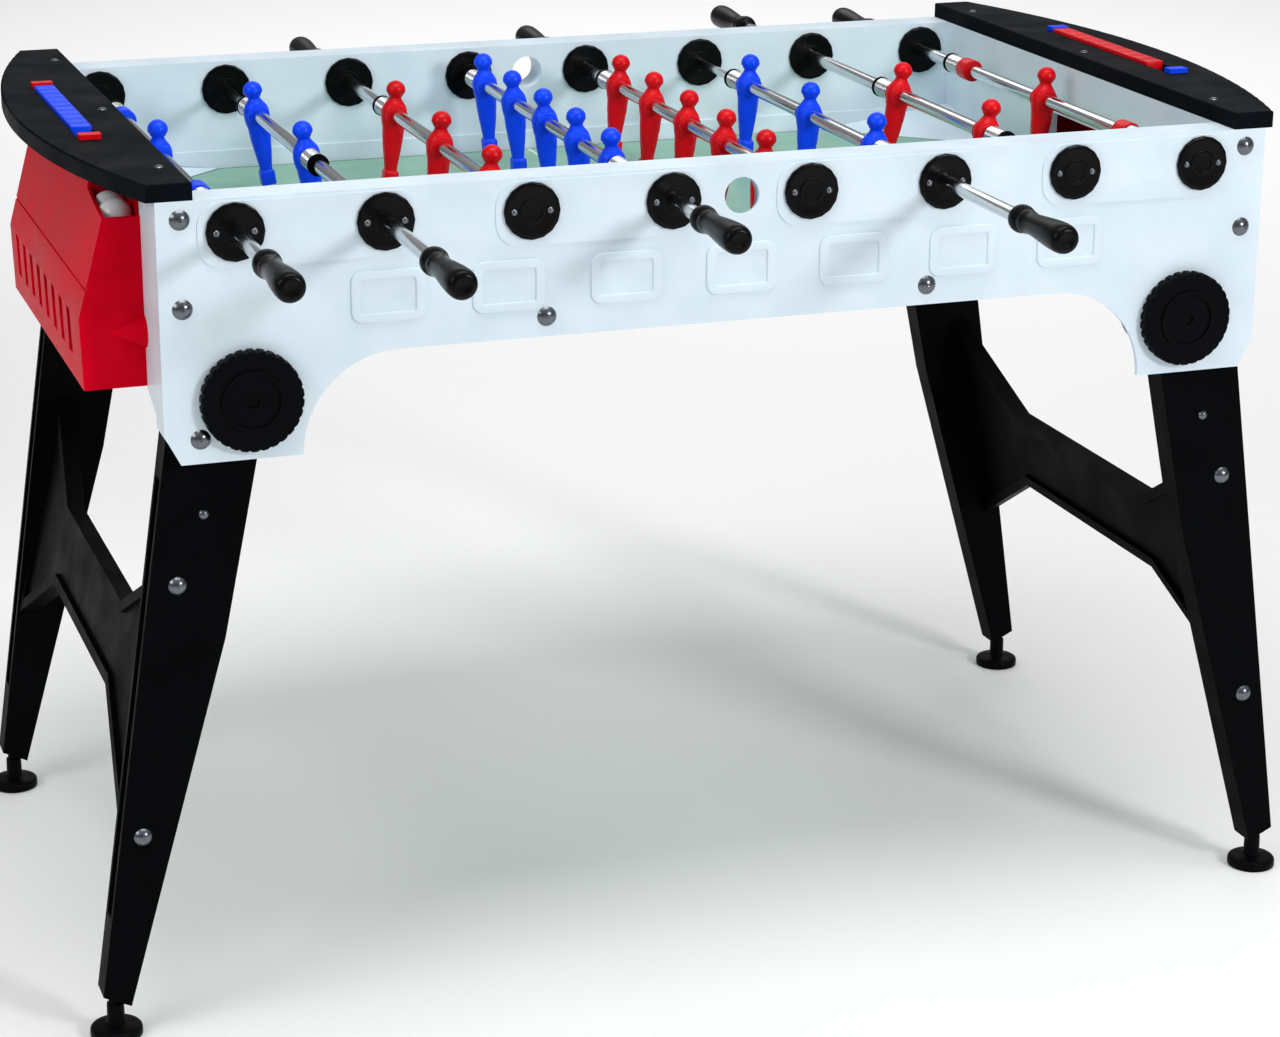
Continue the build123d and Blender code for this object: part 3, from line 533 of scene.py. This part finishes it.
# %% The player's body
# Height above the rod, half depth and half width, in millimetres.
body_rings = [(-58, 7.8, 8.2), (-50, 9.2, 9.4), (-40, 10.6, 10.6), (-31, 11.2, 11.2), (-30, 11.8, 11.8),
              (-21, 12.2, 12.0), (-13, 12.8, 12.3), (-12, 13.6, 12.8), (-4, 15.0, 13.0), (4, 15.0, 13.0),
              (10, 12.8, 12.2), (14, 9.6, 10.2), (17, 7.2, 7.8), (21, 6.4, 6.8)]


def grow(rings, first, sides=20):
    """Pull a body up through rings, from a first ring of the same form."""
    height, depth, width = first
    body = begin(bpy.ops.mesh.primitive_cylinder_add, vertices=sides, radius=1.0, depth=mm,
                 location=(0, 0, height * mm))
    body.scale = (depth * mm, width * mm, 1.0)
    object_mode()
    bpy.ops.object.transform_apply(location=True, rotation=False, scale=True)
    bpy.ops.object.mode_set(mode="EDIT")
    top = height * mm + mm / 2
    for new_height, new_depth, new_width in rings:
        pick("FACE", lambda place, normal: normal.z > 0.9 and abs(place.z - top) < 0.01 * mm)
        bpy.ops.mesh.extrude_region_move(TRANSFORM_OT_translate={"value": (0, 0, new_height * mm - top)})
        bpy.ops.transform.resize(value=(new_depth / depth, new_width / width, 1.0),
                                 center_override=(0, 0, new_height * mm))
        top, depth, width = new_height * mm, new_depth, new_width
    return object_mode()


def bored(piece):
    """Cut a bore along Y, inside the rod's tube, so that the rod's core passes through."""
    begin(bpy.ops.mesh.primitive_cylinder_add, vertices=32, radius=6 * mm, depth=80 * mm,
          rotation=(pi / 2, 0, 0))
    cutter = settle(object_mode(), "bore")
    apply_modifier(piece, "BOOLEAN", object=cutter, operation="DIFFERENCE", solver="EXACT")
    put_away(cutter)
    return piece


grow(body_rings, (-66, 7.2, 8.0))
bpy.ops.object.mode_set(mode="EDIT")
pick("VERT", lambda place, normal: place.z < -41 * mm and abs(place.y) < 1.5 * mm)
bpy.ops.transform.resize(value=(0.7, 1.0, 1.0), center_override=(0, 0, 0))
figure = object_mode()
apply_modifier(figure, "SUBSURF", levels=2, render_levels=2)
print("body faces", len(figure.data.polygons))

# %% The player's boots, chest ridge, arms and head
begin(bpy.ops.mesh.primitive_cube_add, size=1.0, location=(0, 0, -71.5 * mm),
      scale=(16 * mm, 19.5 * mm, 17 * mm))
object_mode()
bpy.ops.object.transform_apply(location=True, rotation=False, scale=True)
bpy.ops.object.mode_set(mode="EDIT")
pick("EDGE", lambda place, along: abs(along.z) > 0.9 or place.z > -70 * mm)
bpy.ops.mesh.bevel(offset=3.5 * mm, segments=4, affect="EDGES")
boots = object_mode()

begin(bpy.ops.mesh.primitive_cylinder_add, vertices=40, radius=12.0 * mm, depth=26 * mm,
      rotation=(pi / 2, 0, 0))
pick("FACE", lambda place, normal: abs(normal.z) > 0.9)
bpy.ops.mesh.inset(thickness=1.6 * mm)
bpy.ops.mesh.extrude_region_shrink_fatten(TRANSFORM_OT_shrink_fatten={"value": 0.0})
ridge = settle(object_mode(), "ridge")
apply_modifier(ridge, "BEVEL", width=1.2 * mm, segments=3, limit_method="ANGLE")

arms = []
for side in (-1, 1):
    arm = begin(bpy.ops.mesh.primitive_uv_sphere_add, segments=14, ring_count=8, radius=1.0,
                location=(1.5 * mm, side * 10.2 * mm, -6 * mm), rotation=(side * radians(3), radians(-6), 0))
    arm.scale = (5.0 * mm, 2.6 * mm, 19 * mm)
    arms.append(settle(object_mode(), "arm"))
    bpy.context.view_layer.update()
begin(bpy.ops.mesh.primitive_uv_sphere_add, segments=28, ring_count=18, radius=10.8 * mm,
      location=(0, 0, 27.0 * mm))
pick("VERT", lambda place, normal: place.z < -2 * mm)
bpy.ops.transform.resize(value=(0.9, 0.88, 1.0), center_override=(0, 0, 27.0 * mm))
head = settle(object_mode(), "head")
sleeves = []
for side in (-1, 1):
    begin(bpy.ops.mesh.primitive_torus_add, major_segments=28, minor_segments=10, major_radius=10.4 * mm,
          minor_radius=2.1 * mm, location=(0, side * 10.7 * mm, 0), rotation=(pi / 2, 0, 0))
    sleeves.append(settle(object_mode(), "sleeve"))
# The moulding is hollow round the rod, because the rod's steel core slides inside its tube.
for part in [figure, ridge] + arms:
    bored(part)
player = join([figure, boots, ridge, head] + arms + sleeves, "player_master")
smooth(player, 50)
print("player faces", len(player.data.polygons))

# %% [markdown]
# ## Players on their rods
# Every row of players turns with its rod, so a row is one piece that rides on its rod. The players lean a
# little, because the rods were left turned. Goalkeepers also have two stop rings with rounded edges.

# %% A stop ring
begin(bpy.ops.mesh.primitive_cylinder_add, vertices=40, radius=13 * mm, depth=24 * mm,
      rotation=(pi / 2, 0, 0))
pick("FACE", lambda place, normal: abs(normal.z) > 0.9)
bpy.ops.mesh.inset(thickness=2 * mm)
bpy.ops.transform.resize(value=(1, 1, 1.04), center_override=(0, 0, 0))
stop_ring = settle(object_mode(), "stop_ring_master")
apply_modifier(stop_ring, "BEVEL", width=2.0 * mm, segments=4, limit_method="ANGLE")
bored(stop_ring)
smooth(stop_ring, 40)

# %% Rows of players
lean = {1: 0, 2: -8, 3: 5, 4: -4, 5: 5, 6: 3, 7: 10, 8: 5}
men_in_row = {1: 1, 2: 2, 3: 3, 4: 5, 5: 5, 6: 3, 7: 2, 8: 1}
man_half, ring_half = 13 * mm, 12 * mm


def rod_axis(rod):
    """X of a rod's axis."""
    return sum(corner.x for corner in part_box(f"rod_{rod}_tube")) / 2


for rod in rods:
    low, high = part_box(f"rod_{rod}_players")
    middle, count = (low.y + high.y) / 2, men_in_row[rod]
    reach = (high.y - low.y) / 2 - man_half if count > 1 else 0.0
    row = []
    for index in range(count):
        y = middle + (reach * (2 * index / (count - 1) - 1) if count > 1 else 0.0)
        turn = Matrix.Rotation(radians(lean[rod]), 4, "Y")
        place = Matrix.Translation((rod_axis(rod), y, rod_height)) @ turn
        row.append(copy_to(player, place, "player"))
    if count == 1:
        for y in (low.y + ring_half, high.y - ring_half):
            row.append(copy_to(stop_ring, Matrix.Translation((rod_axis(rod), y, rod_height)), "ring"))
    team = join(row, f"rod_{rod}_team")
    blue = rod in blue_rods
    wear(team, blue_nylon if blue else red_nylon)
    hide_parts(f"rod_{rod}_players")
    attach(team, f"rod_{rod}")
put_away(player)
put_away(stop_ring)
print("rows of players", len(rods))

# %% [markdown]
# ## Springs and washers
# Beside the last player at each end sits a chromed spring that softens the stroke, with a washer at its outer
# end. A spring is a small circle swept by the Screw modifier: one turn for each pitch of the wire.

# %% One spring, its wire and its end rings
spring_length, spring_radius, wire_radius, spring_turns = 35 * mm, 11.0 * mm, 1.2 * mm, 13
washer_length, washer_radius, end_room_y = 3.4 * mm, 11.8 * mm, 0.4 * mm
begin(bpy.ops.mesh.primitive_circle_add, vertices=8, radius=wire_radius,
      location=(spring_radius - wire_radius, 0, 0), rotation=(pi / 2, 0, 0))
wire = settle(object_mode(), "spring_master")
pitch = (spring_length - 2 * wire_radius) / spring_turns
apply_modifier(wire, "SCREW", screw_offset=pitch, iterations=spring_turns, steps=26, render_steps=26,
               use_normal_calculate=True)
wire_low = Matrix.Translation((0, 0, wire_radius - spring_length / 2))
wire.data.transform(Matrix.Rotation(pi / 2, 4, "X") @ wire_low)
smooth(wire, 60)

begin(bpy.ops.mesh.primitive_cylinder_add, vertices=40, radius=washer_radius, depth=washer_length,
      rotation=(pi / 2, 0, 0))
pick("FACE", lambda place, normal: abs(normal.z) > 0.9)
bpy.ops.mesh.inset(thickness=washer_radius - 8.4 * mm)
bpy.ops.mesh.extrude_region_shrink_fatten(TRANSFORM_OT_shrink_fatten={"value": -0.6 * mm})
washer = settle(object_mode(), "washer_master")
apply_modifier(washer, "BEVEL", width=0.8 * mm, segments=3, limit_method="ANGLE")
bored(washer)
smooth(washer, 40)
print("spring faces", len(wire.data.polygons))

# %% Springs and washers on every rod
for rod in rods:
    low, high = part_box(f"rod_{rod}_bumpers")
    springs, washers = [], []
    for outer, inward in ((low.y, 1), (high.y, -1)):
        washer_y = outer + inward * (end_room_y + washer_length / 2)
        spring_y = outer + inward * (end_room_y + washer_length + 0.1 * mm + spring_length / 2)
        washers.append(copy_to(washer, Matrix.Translation((rod_axis(rod), washer_y, rod_height)), "washer"))
        springs.append(copy_to(wire, Matrix.Translation((rod_axis(rod), spring_y, rod_height)), "spring"))
    for parts, name, finish, slot in ((springs, "springs", chrome, "chrome"),
                                      (washers, "washers", black_smooth, "black_plastic")):
        piece = join(parts, f"rod_{rod}_{name}")
        wear(piece, finish)
        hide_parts(f"rod_{rod}_bumpers")
        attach(piece, f"rod_{rod}_slider")
put_away(wire)
put_away(washer)

# %% [markdown]
# ## Bearings
# Each rod turns in a black bearing: a flange screwed to the panel outside and a nut against the playing side.
# Both are a disc of sixteen short sides with rounded corners, sunk a little inside its rim, with a raised
# boss round the rod. The corners give fingers a grip when the nut is tightened.

# %% A sixteen-sided disc with a boss
flange_radius, boss_radius, bore_radius = 28.9 * mm, 13.5 * mm, 7.9 * mm
disc_sides = 16


def cornered_disc(thickness, boss_rise, name):
    """A disc with rounded corners standing on the origin, with a round boss towards +Z."""
    begin(bpy.ops.mesh.primitive_cylinder_add, vertices=disc_sides, radius=flange_radius, depth=thickness,
          location=(0, 0, thickness / 2))
    settle(object_mode(), name)
    bpy.ops.object.mode_set(mode="EDIT")
    pick("EDGE", lambda place, along: abs(along.z) > 0.9)
    bpy.ops.mesh.bevel(offset=1.4 * mm, segments=3, affect="EDGES")
    pick("FACE", lambda place, normal: normal.z > 0.9)
    bpy.ops.mesh.inset(thickness=1.6 * mm)
    bpy.ops.transform.translate(value=(0, 0, 0.6 * mm))
    bpy.ops.mesh.inset(thickness=3.0 * mm)
    bpy.ops.transform.translate(value=(0, 0, -0.4 * mm))
    disc = object_mode()
    begin(bpy.ops.mesh.primitive_cylinder_add, vertices=48, radius=boss_radius, depth=thickness + boss_rise,
          location=(0, 0, (thickness + boss_rise) / 2))
    pick("FACE", lambda place, normal: normal.z > 0.9)
    bpy.ops.mesh.inset(thickness=boss_radius - bore_radius - 1.5 * mm)
    bpy.ops.mesh.extrude_region_move(TRANSFORM_OT_translate={"value": (0, 0, -1.5 * mm)})
    boss = settle(object_mode(), "boss")
    disc = join([disc, boss], name)
    apply_modifier(disc, "BEVEL", width=0.5 * mm, segments=3, limit_method="ANGLE", angle_limit=radians(40))
    smooth(disc, 40)
    return disc


flange = cornered_disc(3.4 * mm, 1.1 * mm, "flange_master")
nut = cornered_disc(4.0 * mm, 1.0 * mm, "nut_master")

# %% Flanges outside, nuts inside
flange_proud = 4.5 * mm
outer_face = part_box("bearings")[1].y - flange_proud
inner_face = 340 * mm  # the panels' playing side
bearing_parts = []
for side in (-1, 1):
    away = Matrix.Rotation(-side * pi / 2, 4, "X")
    inward = Matrix.Rotation(side * pi / 2, 4, "X")
    for rod in rods:
        outside = Matrix.Translation((rod_axis(rod), side * outer_face, rod_height)) @ away
        inside = Matrix.Translation((rod_axis(rod), side * inner_face, rod_height)) @ inward
        bearing_parts += [copy_to(flange, outside, "flange"), copy_to(nut, inside, "nut")]
bearing_set = join(bearing_parts, "bearing_covers")
wear(bearing_set, black_abs)
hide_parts("bearings")
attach(bearing_set, "cabinet")
put_away(flange)
put_away(nut)
print("bearing faces", len(bearing_set.data.polygons))

# %% [markdown]
# ## Handles
# A handle is a turned black moulding: a rounded collar that stops the hand, a waist, a long swell and a
# blunt, slightly hollow end. Half of its outline is drawn as a string of edges and spun into a solid, and a
# copy of that is laid on each rod.

# %% Handle outline: distance from the inner end and radius, in millimetres
grip_outline = [(0, 8.0), (0, 10.8), (1.2, 12.6), (4.5, 14.0), (9, 14.3), (13.5, 13.4), (16.5, 11.6),
                (18.5, 11.3), (20.5, 12.0), (23.5, 12.1), (27, 11.2), (33, 10.8), (44, 11.5), (58, 12.8),
                (72, 14.0), (84, 14.8), (95, 15.0), (101, 14.2), (104, 12.2), (105.3, 9.6), (105.5, 7.6),
                (104.6, 4.5), (104.3, 0.0)]


def turned(outline, name):
    """Spin an outline of (distance along, radius) in millimetres round the vertical axis into a solid."""
    piece = begin(bpy.ops.mesh.primitive_plane_add, size=mm)
    bpy.ops.mesh.delete(type="VERT")
    object_mode()
    sketch = bmesh.new()
    knots = [sketch.verts.new((radius * mm, 0, along * mm)) for along, radius in outline]
    for first, second in zip(knots, knots[1:]):
        sketch.edges.new((first, second))
    sketch.to_mesh(piece.data)
    sketch.free()
    bpy.ops.object.mode_set(mode="EDIT")
    bpy.ops.mesh.select_all(action="SELECT")
    bpy.ops.mesh.spin(steps=48, angle=2 * pi, center=(0, 0, 0), axis=(0, 0, 1))
    bpy.ops.mesh.select_all(action="SELECT")
    bpy.ops.mesh.remove_doubles(threshold=0.01 * mm)
    pick("VERT", lambda place, normal: abs(place.z - outline[0][0] * mm) < 0.01 * mm
         and Vector((place.x, place.y)).length < (outline[0][1] + 0.1) * mm)
    bpy.ops.mesh.edge_face_add()
    bpy.ops.mesh.select_all(action="SELECT")
    bpy.ops.mesh.normals_make_consistent(inside=False)
    piece = settle(object_mode(), name)
    apply_modifier(piece, "SUBSURF", levels=1, render_levels=1)
    return smooth(piece, 50)


grip = turned(grip_outline, "grip_master")

# %% Handles on their rods
for rod in rods:
    low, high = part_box(f"rod_{rod}_handle")
    out = 1 if high.y > 0 else -1
    inner_end = low.y if out > 0 else high.y
    seat = Matrix.Translation((rod_axis(rod), inner_end, rod_height))
    place = seat @ Matrix.Rotation(-out * pi / 2, 4, "X")
    piece = copy_to(grip, place, f"rod_{rod}_grip")
    wear(piece, black_abs)
    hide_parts(f"rod_{rod}_handle")
    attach(piece, f"rod_{rod}")
put_away(grip)

# %% [markdown]
# ## Levelling feet
# A foot is turned the same way: a flat pad with a sloping rim, and a stem up into the leg. The stem's thread
# is left out.

# %% Four feet
for end in ("left", "right"):
    for side in ("front", "back"):
        low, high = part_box(f"{side}_{end}_foot")
        pad = (high.x - low.x) / 2 / mm
        tall = (high.z - low.z) / mm
        middle = (low + high) / 2
        stand = frame["nodes"][f"{side}_{end}_foot"].data.vertices
        wide = [v.co.z for v in stand if Vector((v.co.x - middle.x, v.co.y - middle.y)).length > 8 * mm]
        neck = (max(wide) - low.z) / mm
        foot_outline = [(0, 0.1), (0, pad - 1.5), (0.6, pad - 0.3), (2.5, pad), (8.0, pad), (10.2, pad - 1.2),
                        (12.0, pad - 5.0), (13.6, 12.0), (14.6, 9.4), (16.0, 9.0), (neck - 0.8, 9.0),
                        (neck, 8.4), (neck, 7.2), (neck + 1.0, 6.0), (tall - 0.8, 6.0), (tall, 5.2),
                        (tall, 0.0)]
        foot = turned(foot_outline, f"{side}_{end}_foot_pad")
        foot.data.transform(Matrix.Translation((middle.x, middle.y, low.z)))
        foot.data.materials.append(black_smooth)
        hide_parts(f"{side}_{end}_foot")
        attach(foot, frame["nodes"][f"{side}_{end}_foot"]["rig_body"])
print("foot pads", 4)

# %% [markdown]
# ## Raised relief on the side panels
# Thin mouldings are stiffened and dressed with raised figures. Here they are plain rounded frames that stand
# about two millimetres proud, along both side panels below the bearings.

# %% One raised frame
relief_width, relief_height, relief_band, relief_rise = 74 * mm, 52 * mm, 9 * mm, 2.2 * mm
begin(bpy.ops.mesh.primitive_cube_add, size=1.0, scale=(relief_width, relief_height, 2 * relief_rise))
settle(object_mode(), "relief_master")
bpy.ops.object.mode_set(mode="EDIT")
pick("EDGE", lambda place, along: abs(along.z) > 0.9)
bpy.ops.mesh.bevel(offset=12 * mm, segments=6, affect="EDGES")
pick("FACE", lambda place, normal: normal.z > 0.9)
bpy.ops.mesh.inset(thickness=relief_band)
bpy.ops.mesh.extrude_region_move(TRANSFORM_OT_translate={"value": (0, 0, -2.0 * mm)})
relief = object_mode()
apply_modifier(relief, "BEVEL", width=0.7 * mm, segments=3, limit_method="ANGLE", angle_limit=radians(35))
smooth(relief, 35)

# %% Frames along both panels
relief_drop = 74 * mm
relief_pitch = 122 * mm
raised = []
for side in (-1, 1):
    away = Matrix.Rotation(-side * pi / 2, 4, "X")
    for index in range(-3, 4):
        place = Matrix.Translation((index * relief_pitch, side * panel_skin, rod_height - relief_drop))
        raised.append(copy_to(relief, place @ away, "relief"))
relief_set = join(raised, "panel_relief")
wear(relief_set, white_abs)
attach(relief_set, "cabinet")
put_away(relief)
